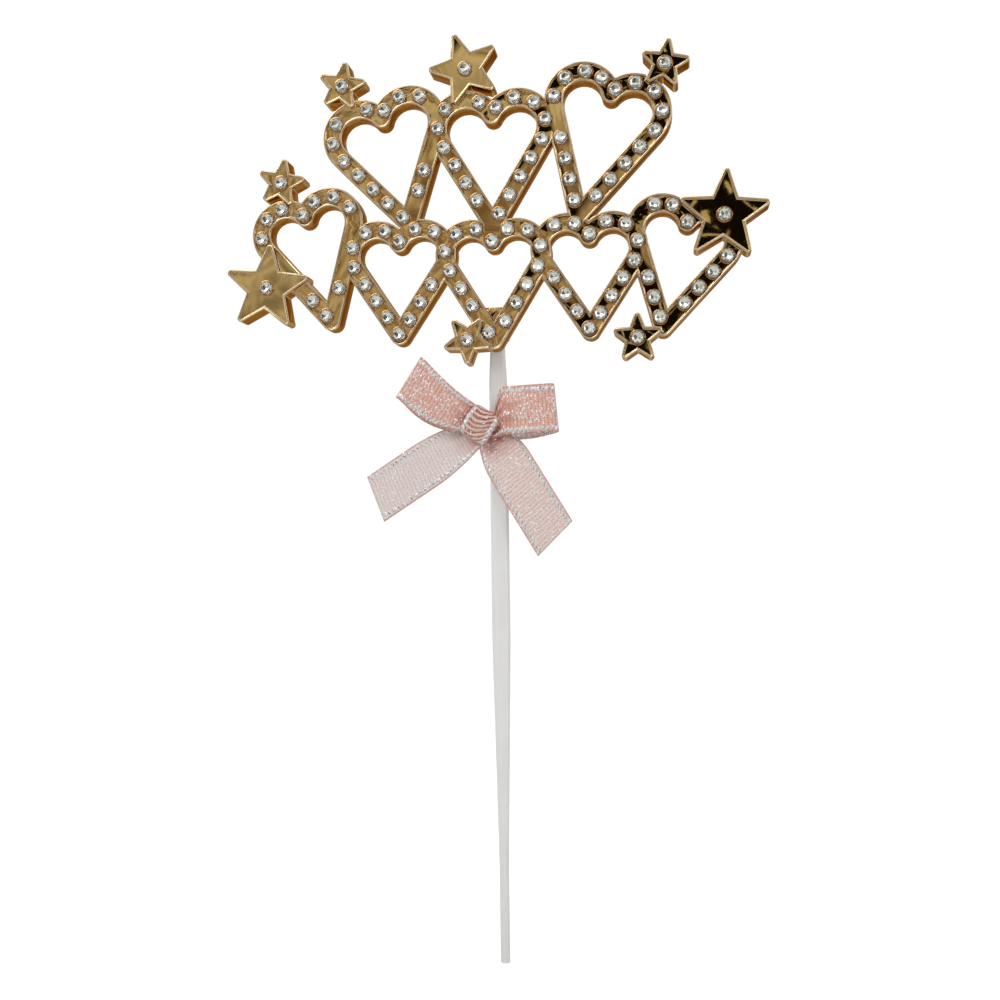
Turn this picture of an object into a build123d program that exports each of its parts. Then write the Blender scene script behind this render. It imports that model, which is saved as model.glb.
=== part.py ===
from build123d import *
import math
import os
from typing import NamedTuple

# A cake topper: an openwork plaque of hearts and stars set with stones, on a push-in stick with a ribbon bow.
# Millimetres. The origin is the centre of the stick's lower end, +Z is up and the front faces -Y.

os.makedirs("parts", exist_ok=True)

# Stick: a round spike that swells into a flat-sided bar and narrows again to a tenon
SPIKE_DIA = 2.0
SPIKE_LENGTH = 20.0
SWELL_LENGTH = 47.0
BAR_LENGTH = 54.0
BAR_WIDE = 3.7
BAR_DEEP = 2.4
BAR_ROUND = 0.7
SHOULDER_LENGTH = 9.5
TENON_WIDE = 2.9
TENON_DEEP = 1.9
TENON_ROUND = 0.5

# Socket on the plaque's back that the tenon is glued into
SOCKET_DEPTH = 6.0
SOCKET_WALL = 1.0
GLUE_GAP = 0.05
TENON_END_GAP = 0.2

# Plaque: bands with a raised rim and a recessed floor that is just wide enough for a row of stones
FOOT_BELOW_SOCKET = 2.5
PLAQUE_THICK = 4.5
RIM = 0.45
FLOOR_DEPTH = 0.45
STAR_RAISE = 0.6
STAR_TIP_BLUNT = 1.5
STAR_WAIST = 0.42
STAR_POINTS = 5

# Hearts: lobe radius, height of the notch above the lobe centres, and drop from there to the tip
LOWER_LOBE = 5.4
LOWER_NOTCH = 2.5
UPPER_LOBE = 6.0
UPPER_NOTCH = 2.6
CENTRE_DROP = 18.0
SIDE_DROP = 17.0
FAR_LEFT_DROP = 20.5
FAR_RIGHT_DROP = 19.5
TOP_DROP = 20.5
TOP_LEFT_DROP = 20.5
TOP_RIGHT_DROP = 23.5
SIDE_RISE = 0.6
FAR_LEFT_RISE = 7.0
FAR_RIGHT_RISE = 2.6
OUTER_LEAN = 14.0
TOP_LEFT_LEAN = 14.0
TOP_RIGHT_LEAN = 16.0
BAND_OVERLAP = 0.4
OUTER_OVERLAP = 0.75
TIP_SEAT = 3.6
SIDE_SEAT_RISE = 1.2
SIDE_SEAT_SHIFT = 2.2

# Stars: reach of the tips before they are blunted, and distance of a star's centre from the band beside it
TOP_STAR_REACH = 9.0
LEFT_STAR_REACH = 10.6
RIGHT_STAR_REACH = 10.8
SMALL_STAR_REACH = 6.5
TOP_STAR_CLEAR = 4.4
LEFT_STAR_CLEAR = 4.7
RIGHT_STAR_CLEAR = -1.6
SMALL_STAR_CLEAR = 3.6

# Stones: flat-backed and eight-sided, glued to the floor
STONE_DIA = 2.95
STONE_TABLE = 1.75
STONE_HEIGHT = 0.95
STONE_SIDES = 8
STONE_ROOM = 0.075
STONE_PITCH = 4.4
STONE_SPACE = 0.6
FILL_STEPS = 8

# Bow: one length of ribbon tied round the bar
RIBBON_WIDE = 10.0
RIBBON_THICK = 0.4
BOW_CLEAR = 0.95
LEFT_LOOP_LENGTH = 19.0
LEFT_LOOP_BEND = 1.2
LEFT_LOOP_END_RUN = 1.0
RIGHT_LOOP_LENGTH = 15.2
RIGHT_LOOP_LIFT = 2.7
RIGHT_LOOP_NECK = 3.5
RIGHT_LOOP_FLARE = 2.3
LEFT_TAIL_LENGTH = 28.2
RIGHT_TAIL_LENGTH = 27.9
NECK_RUN = 1.0
TAIL_FLARE = 9.0
KNOT_SHIFT = -2.4
KNOT_WIDE = 7.4
KNOT_TALL = 8.8
KNOT_COVER = 0.5
KNOT_TURN = -32.0
KNOT_CORNER = 2.8
KNOT_ROUND = 2.0
KNOT_CROWN = 0.5
WRAP_GAP = 0.15
WRAP_TALL = 6.0
NECK_INSET = 1.7
FLARE_SWELL = 0.3
LOOP_NECK = 0.9
LOOP_FOLD = 1.6
LOOP_GAP = 0.3
TAIL_BELLY = 0.6
TAIL_SEAT = 0.3
TAIL_GAP = 0.1

# Depths of the tails, the loops and the knot's crown, in front of the ribbon's turn round the bar
LOWER_TAIL_LEVEL = TAIL_SEAT + RIBBON_THICK / 2
UPPER_TAIL_LEVEL = LOWER_TAIL_LEVEL + RIBBON_THICK + TAIL_GAP
LOOP_LEVEL = UPPER_TAIL_LEVEL + TAIL_BELLY + RIBBON_THICK / 2 + LOOP_GAP + LOOP_NECK
KNOT_DEEP = LOOP_LEVEL + LOOP_NECK + KNOT_COVER


class Ribbon(NamedTuple):
    """A free end or loop of the bow: where it points, and its flat shape from the knot's centre outwards.

    It keeps the neck's width up to neck_end and has its full width from flare_end on. Its middle line is
    lifted to one side and bends by the way.
    """

    name: str
    bearing: float
    length: float
    neck_end: float
    flare_end: float
    lift: float
    bend: float
    slant: float
    level: float


left_loop = Ribbon(
    "bow_loop_left", bearing=147, length=LEFT_LOOP_LENGTH,
    neck_end=NECK_RUN, flare_end=LEFT_LOOP_LENGTH - LEFT_LOOP_END_RUN,
    lift=0, bend=LEFT_LOOP_BEND, slant=0, level=LOOP_LEVEL)
right_loop = Ribbon(
    "bow_loop_right", bearing=2, length=RIGHT_LOOP_LENGTH,
    neck_end=RIGHT_LOOP_NECK, flare_end=RIGHT_LOOP_NECK + RIGHT_LOOP_FLARE,
    lift=RIGHT_LOOP_LIFT, bend=0, slant=-3, level=LOOP_LEVEL)
left_tail = Ribbon(
    "bow_tail_left", bearing=212.5, length=LEFT_TAIL_LENGTH,
    neck_end=NECK_RUN, flare_end=NECK_RUN + TAIL_FLARE,
    lift=0, bend=0, slant=-12, level=LOWER_TAIL_LEVEL)
right_tail = Ribbon(
    "bow_tail_right", bearing=301, length=RIGHT_TAIL_LENGTH,
    neck_end=NECK_RUN, flare_end=NECK_RUN + TAIL_FLARE,
    lift=0, bend=0, slant=14, level=UPPER_TAIL_LEVEL)

# Widths of the plaque's channel and of its bands
CHANNEL = STONE_DIA + 2 * STONE_ROOM
STROKE = CHANNEL + 2 * RIM

# Heights along the stick, and depths in front of its axis
SWELL_TOP = SPIKE_LENGTH + SWELL_LENGTH
BAR_TOP = SWELL_TOP + BAR_LENGTH
SOCKET_MOUTH = BAR_TOP + SHOULDER_LENGTH
PLAQUE_FOOT = SOCKET_MOUTH - FOOT_BELOW_SOCKET
PLAQUE_BACK = BAR_DEEP / 2
FLOOR = PLAQUE_BACK + PLAQUE_THICK - FLOOR_DEPTH
WRAP_FRONT = BAR_DEEP / 2 + WRAP_GAP + RIBBON_THICK

# The knot's height, from the upper corner of the higher loop, which stays clear of the plaque's foot
loop_turn = math.radians(left_loop.bearing)
loop_rise = left_loop.length * math.sin(loop_turn) - RIBBON_WIDE / 2 * math.cos(loop_turn)
BOW_HEIGHT = PLAQUE_FOOT - BOW_CLEAR - loop_rise


def facing(depth):
    """Plane that faces the front, at a depth in front of the stick's axis, its origin at the plaque's foot."""
    return Plane(origin=(0, -depth, PLAQUE_FOOT), x_dir=(1, 0, 0), z_dir=(0, -1, 0))


class Heart(NamedTuple):
    """A heart's middle line: the point between its lobe centres, its lean to the left and its sizes."""

    name: str
    x: float
    z: float
    lean: float
    lobe: float
    spread: float
    drop: float


def on_heart(heart, across, up):
    """Place in the plaque of a point given in a heart's own directions."""
    turn = math.radians(heart.lean)
    x = heart.x + across * math.cos(turn) - up * math.sin(turn)
    z = heart.z + across * math.sin(turn) + up * math.cos(turn)
    return x, z


def heart_on_tip(name, tip, lean, lobe, spread, drop):
    """Heart that stands on a given tip point."""
    turn = math.radians(lean)
    return Heart(name, tip[0] - drop * math.sin(turn), tip[1] + drop * math.cos(turn), lean, lobe, spread, drop)


def heart_line(heart):
    """Closed middle line of a heart: two arcs that cross in a notch, and their tangents down to the tip."""
    slant = math.hypot(heart.drop, heart.spread)
    touch = math.atan2(-heart.drop, -heart.spread) + math.acos(heart.lobe / slant)
    notch = math.acos(-heart.spread / heart.lobe)
    with BuildLine() as line:
        lobe = CenterArc((heart.spread, 0), heart.lobe, math.degrees(touch), math.degrees(notch - touch))
        Line((0, -heart.drop), lobe @ 0)
        mirror(about=Plane.YZ)
    return Wire(line.edges()).moved(Location((heart.x, heart.z, 0), (0, 0, heart.lean)))


def heart_band(heart, width):
    """Flat band of a given width along a heart's middle line."""
    with BuildSketch() as band:
        with BuildLine():
            add(heart_line(heart))
        make_face()
        core = offset(amount=-width / 2, mode=Mode.PRIVATE)
        offset(amount=width / 2)
        add(core, mode=Mode.SUBTRACT)
    return band.sketch


lower_spread = math.sqrt(LOWER_LOBE**2 - LOWER_NOTCH**2)
upper_spread = math.sqrt(UPPER_LOBE**2 - UPPER_NOTCH**2)
lower_step = 2 * (lower_spread + LOWER_LOBE) - BAND_OVERLAP
outer_step = lower_step + 2 * (lower_spread + LOWER_LOBE) - OUTER_OVERLAP
lower_height = STROKE / 2 + CENTRE_DROP
side_height = lower_height + SIDE_RISE
far_left_height = lower_height + FAR_LEFT_RISE
far_right_height = lower_height + FAR_RIGHT_RISE

lower_centre = Heart("lower_centre", 0, lower_height, 0, LOWER_LOBE, lower_spread, CENTRE_DROP)
lower_left = Heart("lower_left", -lower_step, side_height, 0, LOWER_LOBE, lower_spread, SIDE_DROP)
lower_right = Heart("lower_right", lower_step, side_height, 0, LOWER_LOBE, lower_spread, SIDE_DROP)
far_left = Heart("far_left", -outer_step, far_left_height, OUTER_LEAN, LOWER_LOBE, lower_spread, FAR_LEFT_DROP)
far_right = Heart(
    "far_right", outer_step, far_right_height, -OUTER_LEAN, LOWER_LOBE, lower_spread, FAR_RIGHT_DROP)
centre_seat = on_heart(lower_centre, 0, LOWER_NOTCH + TIP_SEAT)
left_seat = on_heart(lower_left, SIDE_SEAT_SHIFT, LOWER_LOBE + SIDE_SEAT_RISE)
right_seat = on_heart(lower_right, -SIDE_SEAT_SHIFT, LOWER_LOBE + SIDE_SEAT_RISE)
upper_centre = heart_on_tip("upper_centre", centre_seat, 0, UPPER_LOBE, upper_spread, TOP_DROP)
upper_left = heart_on_tip("upper_left", left_seat, TOP_LEFT_LEAN, UPPER_LOBE, upper_spread, TOP_LEFT_DROP)
upper_right = heart_on_tip("upper_right", right_seat, -TOP_RIGHT_LEAN, UPPER_LOBE, upper_spread, TOP_RIGHT_DROP)
hearts = (lower_centre, lower_left, lower_right, far_left, far_right, upper_centre, upper_left, upper_right)


class Star(NamedTuple):
    """A star's centre, the radius of its tips and its turn to the left from one tip straight up."""

    name: str
    x: float
    z: float
    reach: float
    turn: float


def star_by_lobe(name, heart, side, bearing, turn, clear, reach):
    """Star whose centre lies a clear distance outside the band of a heart's left (-1) or right (1) lobe."""
    x, z = on_heart(heart, side * heart.spread, 0)
    away = heart.lobe + STROKE / 2 + clear
    angle = math.radians(bearing)
    return Star(name, x + away * math.cos(angle), z + away * math.sin(angle), reach, turn)


def small_star_by_tip(name, heart, bearing, turn):
    """Small star whose centre lies a clear distance outside the round end of a heart's tip."""
    x, z = on_heart(heart, 0, -heart.drop)
    away = STROKE / 2 + SMALL_STAR_CLEAR
    angle = math.radians(bearing)
    return Star(name, x + away * math.cos(angle), z + away * math.sin(angle), SMALL_STAR_REACH, turn)


def small_star_by_lobe(name, heart, side, bearing, turn):
    """Small star beside a heart's lobe."""
    return star_by_lobe(name, heart, side, bearing, turn, SMALL_STAR_CLEAR, SMALL_STAR_REACH)


large_stars = (
    star_by_lobe("star_top", upper_centre, -1, 90, turn=17, clear=TOP_STAR_CLEAR, reach=TOP_STAR_REACH),
    star_by_lobe("star_left", far_left, -1, 249, turn=-6, clear=LEFT_STAR_CLEAR, reach=LEFT_STAR_REACH),
    star_by_lobe("star_right", far_right, 1, 54, turn=-4, clear=RIGHT_STAR_CLEAR, reach=RIGHT_STAR_REACH),
)
small_stars = (
    small_star_by_lobe("small_star_top_left", upper_left, -1, 109, turn=-10),
    small_star_by_lobe("small_star_left", far_left, -1, 95, turn=-11),
    small_star_by_lobe("small_star_top_right", upper_right, 1, 55, turn=-10),
    small_star_by_tip("small_star_foot", lower_centre, 178, turn=36),
    small_star_by_tip("small_star_right_foot", far_right, 202, turn=0),
)


def star_face(star):
    """Flat star with blunted tips."""
    corners = []
    for k in range(2 * STAR_POINTS):
        radius = star.reach if k % 2 == 0 else star.reach * STAR_WAIST
        angle = math.radians(90 + star.turn + 180 / STAR_POINTS * k)
        corners.append((star.x + radius * math.cos(angle), star.z + radius * math.sin(angle)))
    with BuildSketch() as plate:
        with BuildLine():
            Polyline(*corners, close=True)
        make_face()
        tips = plate.vertices().sort_by_distance((star.x, star.z, 0))[-STAR_POINTS:]
        chamfer(tips, length=STAR_TIP_BLUNT)
    return plate.sketch


def star_floor(star):
    """Flat floor of a star, inside its rim."""
    with BuildSketch() as floor:
        add(star_face(star))
        offset(amount=-RIM, kind=Kind.INTERSECTION)
    return floor.sketch


stars = large_stars + small_stars
bands = [heart_band(heart, STROKE) for heart in hearts]
channels = [heart_band(heart, CHANNEL) for heart in hearts]
star_plates = [star_face(star) for star in stars]
star_floors = [star_floor(star) for star in stars]


def is_clear(point, others):
    """Whether a stone at a point is clear of the other stones and of the stars."""
    for other in others:
        if math.dist(point, other) < STONE_DIA + STONE_SPACE:
            return False
    for star, plate in zip(stars, star_plates):
        is_near = math.dist(point, (star.x, star.z)) < star.reach + STONE_DIA
        if is_near and plate.distance_to(Vertex(*point, 0)) < STONE_DIA / 2 + STONE_ROOM:
            return False
    return True


def places_on(heart, count):
    """Evenly spaced points along a heart's middle line, from its tip."""
    line = heart_line(heart)
    points = [line.position_at(k / count) for k in range(count)]
    return [(point.X, point.Y) for point in points]


# Each heart is first studded at an even pitch, and then in any room that its neighbours leave
places_of = {heart.name: [] for heart in hearts}
heart_places = []
for steps_per_pitch in (1, FILL_STEPS):
    for heart in hearts:
        count = round(heart_line(heart).length / STONE_PITCH) * steps_per_pitch
        for place in places_on(heart, count):
            if is_clear(place, heart_places):
                places_of[heart.name].append(place)
                heart_places.append(place)

# The plaque: hearts with their channel, stars standing a little proud of them, and the socket
with BuildPart() as plaque:
    with BuildSketch(facing(PLAQUE_BACK)):
        add(bands)
    extrude(amount=PLAQUE_THICK)
    with BuildSketch(facing(FLOOR)):
        add(channels)
    extrude(amount=FLOOR_DEPTH, mode=Mode.SUBTRACT)
    with BuildSketch(facing(PLAQUE_BACK)):
        add(star_plates)
    extrude(amount=PLAQUE_THICK + STAR_RAISE)
    with BuildSketch(facing(FLOOR + STAR_RAISE)):
        add(star_floors)
    extrude(amount=FLOOR_DEPTH, mode=Mode.SUBTRACT)
    with BuildSketch(Plane.XY.offset(SOCKET_MOUTH)):
        boss_deep = TENON_DEEP + 2 * (GLUE_GAP + SOCKET_WALL)
        RectangleRounded(TENON_WIDE + 2 * (GLUE_GAP + SOCKET_WALL), boss_deep, TENON_ROUND + SOCKET_WALL)
    extrude(amount=SOCKET_DEPTH + SOCKET_WALL)
    with BuildSketch(Plane.XY.offset(SOCKET_MOUTH)):
        RectangleRounded(TENON_WIDE + 2 * GLUE_GAP, TENON_DEEP + 2 * GLUE_GAP, TENON_ROUND)
    extrude(amount=SOCKET_DEPTH, mode=Mode.SUBTRACT)
plaque.part.label = "gold_plaque"
export_step(plaque.part, "parts/gold_plaque.step")

# The stick, from the spike up to the tenon
with BuildPart() as stick:
    with BuildSketch():
        Circle(SPIKE_DIA / 2)
    extrude(amount=SPIKE_LENGTH)
    with BuildSketch(Plane.XY.offset(SPIKE_LENGTH)):
        Circle(SPIKE_DIA / 2)
    with BuildSketch(Plane.XY.offset(SWELL_TOP)):
        RectangleRounded(BAR_WIDE, BAR_DEEP, BAR_ROUND)
    loft(ruled=True)
    with BuildSketch(Plane.XY.offset(SWELL_TOP)):
        RectangleRounded(BAR_WIDE, BAR_DEEP, BAR_ROUND)
    extrude(amount=BAR_LENGTH)
    with BuildSketch(Plane.XY.offset(BAR_TOP)):
        RectangleRounded(BAR_WIDE, BAR_DEEP, BAR_ROUND)
    with BuildSketch(Plane.XY.offset(SOCKET_MOUTH)):
        RectangleRounded(TENON_WIDE, TENON_DEEP, TENON_ROUND)
    loft(ruled=True)
    with BuildSketch(Plane.XY.offset(SOCKET_MOUTH)):
        RectangleRounded(TENON_WIDE, TENON_DEEP, TENON_ROUND)
    extrude(amount=SOCKET_DEPTH - TENON_END_GAP)
stick.part.label = "stick"
export_step(stick.part, "parts/stick.step")


# One stone: a flat back, and facets cut from its edge up to the table
with BuildPart() as stone:
    with BuildSketch() as back:
        RegularPolygon(STONE_DIA / 2, STONE_SIDES)
    extrude(amount=STONE_HEIGHT)
    for edge in back.edges():
        foot = edge @ 0.5
        inset = foot.length * (1 - STONE_TABLE / STONE_DIA)
        facet = Plane(origin=foot, z_dir=foot.normalized() * STONE_HEIGHT + Vector(0, 0, inset))
        split(bisect_by=facet, keep=Keep.BOTTOM)


def export_stones(name, places, floor):
    """Write the stones of one motif, standing on its floor, as a group of solids."""
    with BuildPart(facing(floor)) as stones:
        with Locations(*places):
            add(stone.part)
    stones.part.label = name
    export_step(stones.part, f"parts/{name}.step")


for heart in hearts:
    export_stones(f"stones_{heart.name}", places_of[heart.name], FLOOR)
for star in large_stars:
    export_stones(f"stone_{star.name}", [(star.x, star.z)], FLOOR + STAR_RAISE)
export_stones("stones_small_stars", [(star.x, star.z) for star in small_stars], FLOOR + STAR_RAISE)

# The ribbon's turn round the bar
with BuildPart() as wrap:
    with BuildSketch(Plane.XY.offset(BOW_HEIGHT - WRAP_TALL / 2)):
        inner_wide = BAR_WIDE + 2 * WRAP_GAP
        inner_deep = BAR_DEEP + 2 * WRAP_GAP
        inner_round = BAR_ROUND + WRAP_GAP
        grow = 2 * RIBBON_THICK
        RectangleRounded(inner_wide + grow, inner_deep + grow, inner_round + RIBBON_THICK)
        RectangleRounded(inner_wide, inner_deep, inner_round, mode=Mode.SUBTRACT)
    extrude(amount=WRAP_TALL)
wrap.part.label = "bow_wrap"
export_step(wrap.part, "parts/bow_wrap.step")


def ribbon_direction(bearing):
    """Direction in the picture plane, at an angle from +X towards +Z."""
    return math.cos(math.radians(bearing)), 0, math.sin(math.radians(bearing))


def across_ribbon(bearing):
    """Plane of a ribbon's edge: x along the ribbon, y towards the front from the wrap's front face."""
    x, _, z = ribbon_direction(bearing)
    return Plane(origin=(KNOT_SHIFT, -WRAP_FRONT, BOW_HEIGHT), x_dir=(x, 0, z), z_dir=(z, 0, -x))


def along_ribbon(bearing):
    """Plane of a ribbon's face: x along the ribbon, y across it, seen from the front."""
    centre = (KNOT_SHIFT, -WRAP_FRONT, BOW_HEIGHT)
    return Plane(origin=centre, x_dir=ribbon_direction(bearing), z_dir=(0, -1, 0))


def ribbon_outline(ribbon, length):
    """Face of a ribbon that leaves the knot at the neck's width, flares out and ends in a slanted cut."""
    neck = KNOT_TALL / 2 - NECK_INSET
    high = ribbon.lift + RIBBON_WIDE / 2
    low = ribbon.lift - RIBBON_WIDE / 2
    lean = RIBBON_WIDE / 2 * math.tan(math.radians(ribbon.slant))
    halfway = (ribbon.neck_end + ribbon.flare_end) / 2
    upper_middle = (halfway, (neck + high) / 2 + FLARE_SWELL + ribbon.bend)
    lower_middle = (halfway, (low - neck) / 2 - FLARE_SWELL + ribbon.bend)
    with BuildSketch() as face:
        with BuildLine():
            start = Polyline((ribbon.neck_end, -neck), (0, -neck), (0, neck), (ribbon.neck_end, neck))
            upper = ThreePointArc(start @ 1, upper_middle, (ribbon.flare_end, high))
            end = Polyline(
                upper @ 1, (length - lean, high), (length + lean, low), (ribbon.flare_end, low))
            ThreePointArc(end @ 1, lower_middle, start @ 0)
        make_face()
    return face.sketch


# The knot: the ribbon arches over the front on a slant and tucks in at both ends
with BuildPart() as knot:
    with BuildSketch(across_ribbon(KNOT_TURN + 90)) as arch:
        with BuildLine():
            shoulder = KNOT_DEEP - KNOT_CROWN
            crown = ThreePointArc((-KNOT_TALL / 2, shoulder), (0, KNOT_DEEP), (KNOT_TALL / 2, shoulder))
            Polyline(crown @ 1, (KNOT_TALL / 2, 0), (-KNOT_TALL / 2, 0), crown @ 0)
        make_face()
        fillet(arch.vertices().group_by(Axis.Y)[-1], radius=KNOT_ROUND)
    extrude(amount=KNOT_WIDE, both=True)
    with BuildSketch(along_ribbon(KNOT_TURN)):
        RectangleRounded(KNOT_WIDE, KNOT_TALL, KNOT_CORNER)
    extrude(amount=KNOT_DEEP, mode=Mode.INTERSECT)
knot.part.label = "bow_knot"
export_step(knot.part, "parts/bow_knot.step")


def export_loop(ribbon):
    """Write one loop: a ribbon that leaves the knot, folds over at its far end and comes back."""
    with BuildPart() as loop:
        with BuildSketch(across_ribbon(ribbon.bearing)):
            with Locations((0, ribbon.level)):
                Circle(LOOP_NECK)
            with Locations((ribbon.length - LOOP_FOLD, ribbon.level)):
                Circle(LOOP_FOLD)
            make_hull()
            offset(amount=-RIBBON_THICK, mode=Mode.SUBTRACT)
        extrude(amount=RIBBON_WIDE, both=True)
        with BuildSketch(along_ribbon(ribbon.bearing)):
            add(ribbon_outline(ribbon, ribbon.length + RIBBON_THICK))
        extrude(amount=2 * KNOT_DEEP, both=True, mode=Mode.INTERSECT)
        add(knot.part, mode=Mode.SUBTRACT)
    loop.part.label = ribbon.name
    export_step(loop.part, f"parts/{ribbon.name}.step")


def export_tail(ribbon):
    """Write one tail: a ribbon that leaves the knot's back and bellies a little on its way to the cut end."""
    with BuildPart() as tail:
        with BuildSketch(across_ribbon(ribbon.bearing)):
            with BuildLine():
                reach = ribbon.length + RIBBON_WIDE / 2
                crest = ribbon.level + TAIL_BELLY
                ThreePointArc((0, ribbon.level), (reach / 2, crest), (reach, ribbon.level))
            trace(line_width=RIBBON_THICK)
        extrude(amount=RIBBON_WIDE, both=True)
        with BuildSketch(along_ribbon(ribbon.bearing)):
            add(ribbon_outline(ribbon, ribbon.length))
        extrude(amount=2 * KNOT_DEEP, both=True, mode=Mode.INTERSECT)
        add(knot.part, mode=Mode.SUBTRACT)
    tail.part.label = ribbon.name
    export_step(tail.part, f"parts/{ribbon.name}.step")


for ribbon in (left_loop, right_loop):
    export_loop(ribbon)
for ribbon in (left_tail, right_tail):
    export_tail(ribbon)
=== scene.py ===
# %% [markdown]
# # A jewelled cake topper
# The real thing is a plated plastic plaque set with foiled glass stones, on a white plastic stick with a
# ribbon bow tied round it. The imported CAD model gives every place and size, in metres, with +Z up and
# the front towards -Y. This lesson dresses it: each cell makes one piece or one finish.

# %% Load the frame
import math
from typing import NamedTuple

import bmesh
import bpy
from mathutils import Matrix, Vector


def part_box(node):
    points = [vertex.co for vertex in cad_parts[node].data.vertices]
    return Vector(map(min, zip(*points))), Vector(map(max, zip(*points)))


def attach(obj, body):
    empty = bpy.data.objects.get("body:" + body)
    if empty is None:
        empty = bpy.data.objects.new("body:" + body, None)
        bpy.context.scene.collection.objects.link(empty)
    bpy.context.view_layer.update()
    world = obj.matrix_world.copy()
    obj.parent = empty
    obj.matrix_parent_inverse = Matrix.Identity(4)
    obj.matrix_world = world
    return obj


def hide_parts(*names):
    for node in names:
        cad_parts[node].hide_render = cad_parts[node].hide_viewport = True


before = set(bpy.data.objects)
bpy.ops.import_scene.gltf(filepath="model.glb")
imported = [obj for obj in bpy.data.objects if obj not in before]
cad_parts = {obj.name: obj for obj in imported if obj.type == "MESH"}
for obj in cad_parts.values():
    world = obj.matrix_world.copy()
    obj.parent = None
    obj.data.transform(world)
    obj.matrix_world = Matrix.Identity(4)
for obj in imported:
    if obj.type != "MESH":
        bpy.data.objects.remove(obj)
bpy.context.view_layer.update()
MM = 0.001

# %% [markdown]
# ## Small helpers
# A colour is easiest to read as the sRGB hex value that a paint program shows, but Blender's shaders
# work in linear light, so one function converts it. Another adds a shader node, sets its properties and
# fills its inputs. The others start a material, turn a bmesh into an object and let it ride on a CAD
# body.

# %% Helpers
def linear(hex_colour):
    """Linear RGBA of an sRGB hex colour."""
    channels = [int(hex_colour[k:k + 2], 16) / 255 for k in (1, 3, 5)]
    return [c / 12.92 if c <= 0.04045 else ((c + 0.055) / 1.055) ** 2.4 for c in channels] + [1.0]


def add_node(tree, kind, inputs=None, **settings):
    """Add a node; an input is a plain value, a node's output, or a node for its first output."""
    node = tree.nodes.new(kind)
    for name, value in settings.items():
        setattr(node, name, value)
    for name, value in (inputs or {}).items():
        if isinstance(value, bpy.types.Node):
            tree.links.new(value.outputs[0], node.inputs[name])
        elif isinstance(value, bpy.types.NodeSocket):
            tree.links.new(value, node.inputs[name])
        else:
            node.inputs[name].default_value = value
    return node


def new_material(name):
    """Empty node material and its tree."""
    material = bpy.data.materials.new(name)
    material.use_nodes = True
    material.node_tree.nodes.clear()
    return material, material.node_tree


def show(tree, shader):
    """Send a shader to the material's output."""
    add_node(tree, "ShaderNodeOutputMaterial", {"Surface": shader})


def make_object(name, mesh, *materials):
    """Object at the origin from a bmesh, with its materials."""
    data = bpy.data.meshes.new(name)
    mesh.to_mesh(data)
    mesh.free()
    for material in materials:
        data.materials.append(material)
    piece = bpy.data.objects.new(name, data)
    bpy.context.scene.collection.objects.link(piece)
    return piece


def dress(piece, body, slot, *nodes):
    """Let a piece ride on a body and stand for CAD nodes, which it hides; the slot argument is not used."""
    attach(piece, body)
    if nodes:
        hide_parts(*nodes)
    print(piece.name, len(piece.data.polygons), "faces")


WELD = 0.001 * MM


def merged_copy(node):
    """Copy of a CAD node's mesh with its loose triangles joined up."""
    mesh = bmesh.new()
    mesh.from_mesh(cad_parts[node].data)
    bmesh.ops.remove_doubles(mesh, verts=mesh.verts, dist=WELD)
    return mesh


# %% [markdown]
# ## Camera
# The photograph was taken from close by, a little to the right: the plaque's right-hand side walls show
# in its left half. The camera stood a little below the middle of the topper. The distance and the focal
# length together give the photograph's scale of 4.8 pixels to the millimetre, and a slight roll gives
# the stick its lean.

# %% Camera
IMAGE_PIXELS = 1000
PIXELS_PER_MM = 4.8
CAMERA_DISTANCE = 280 * MM
CAMERA_TURN = math.radians(7.5)
CAMERA_BELOW_AIM = 6 * MM
CAMERA_ROLL = math.radians(0.74)
AIM = Vector((0.6 * MM, -4 * MM, 96.8 * MM))

camera_data = bpy.data.cameras.new("camera")
camera_data.sensor_width = 36
camera_data.lens = PIXELS_PER_MM * CAMERA_DISTANCE / MM / IMAGE_PIXELS * camera_data.sensor_width
camera_data.clip_start = 0.01
camera = bpy.data.objects.new("camera", camera_data)
bpy.context.scene.collection.objects.link(camera)
sideways = CAMERA_DISTANCE * math.sin(CAMERA_TURN)
forwards = CAMERA_DISTANCE * math.cos(CAMERA_TURN)
camera.location = AIM + Vector((sideways, -forwards, -CAMERA_BELOW_AIM))
aim_turn = (AIM - camera.location).to_track_quat("-Z", "Y").to_matrix().to_4x4()
camera.rotation_euler = (aim_turn @ Matrix.Rotation(-CAMERA_ROLL, 4, "Z")).to_euler()
bpy.context.scene.camera = camera
print("lens", round(camera_data.lens, 1), "mm")

# %% [markdown]
# ## Studio
# A white room lights the object softly. Camera, mirror and glass rays see it as plain white, with a
# little to spare so that it stays white through the denoiser. Other rays see it at the level that lights
# a white surface to about white. The polished plating is a mirror, so it also needs something to
# reflect, as it would in a room: a tall card stands behind the camera, nearly black on its right and
# mottled on its left. Smaller cards to the left, above and to the right of the camera tone the stars and
# the rims, and a buff one stands behind the object for its side walls. Three narrow slips put the pale
# patches on the dark right-hand star. Only mirror and glass rays see the cards.

# %% World and lamps
ROOM_LEVEL = 0.5
ROOM_SEEN = 1.04
bpy.context.scene.view_settings.view_transform = "Standard"

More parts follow.
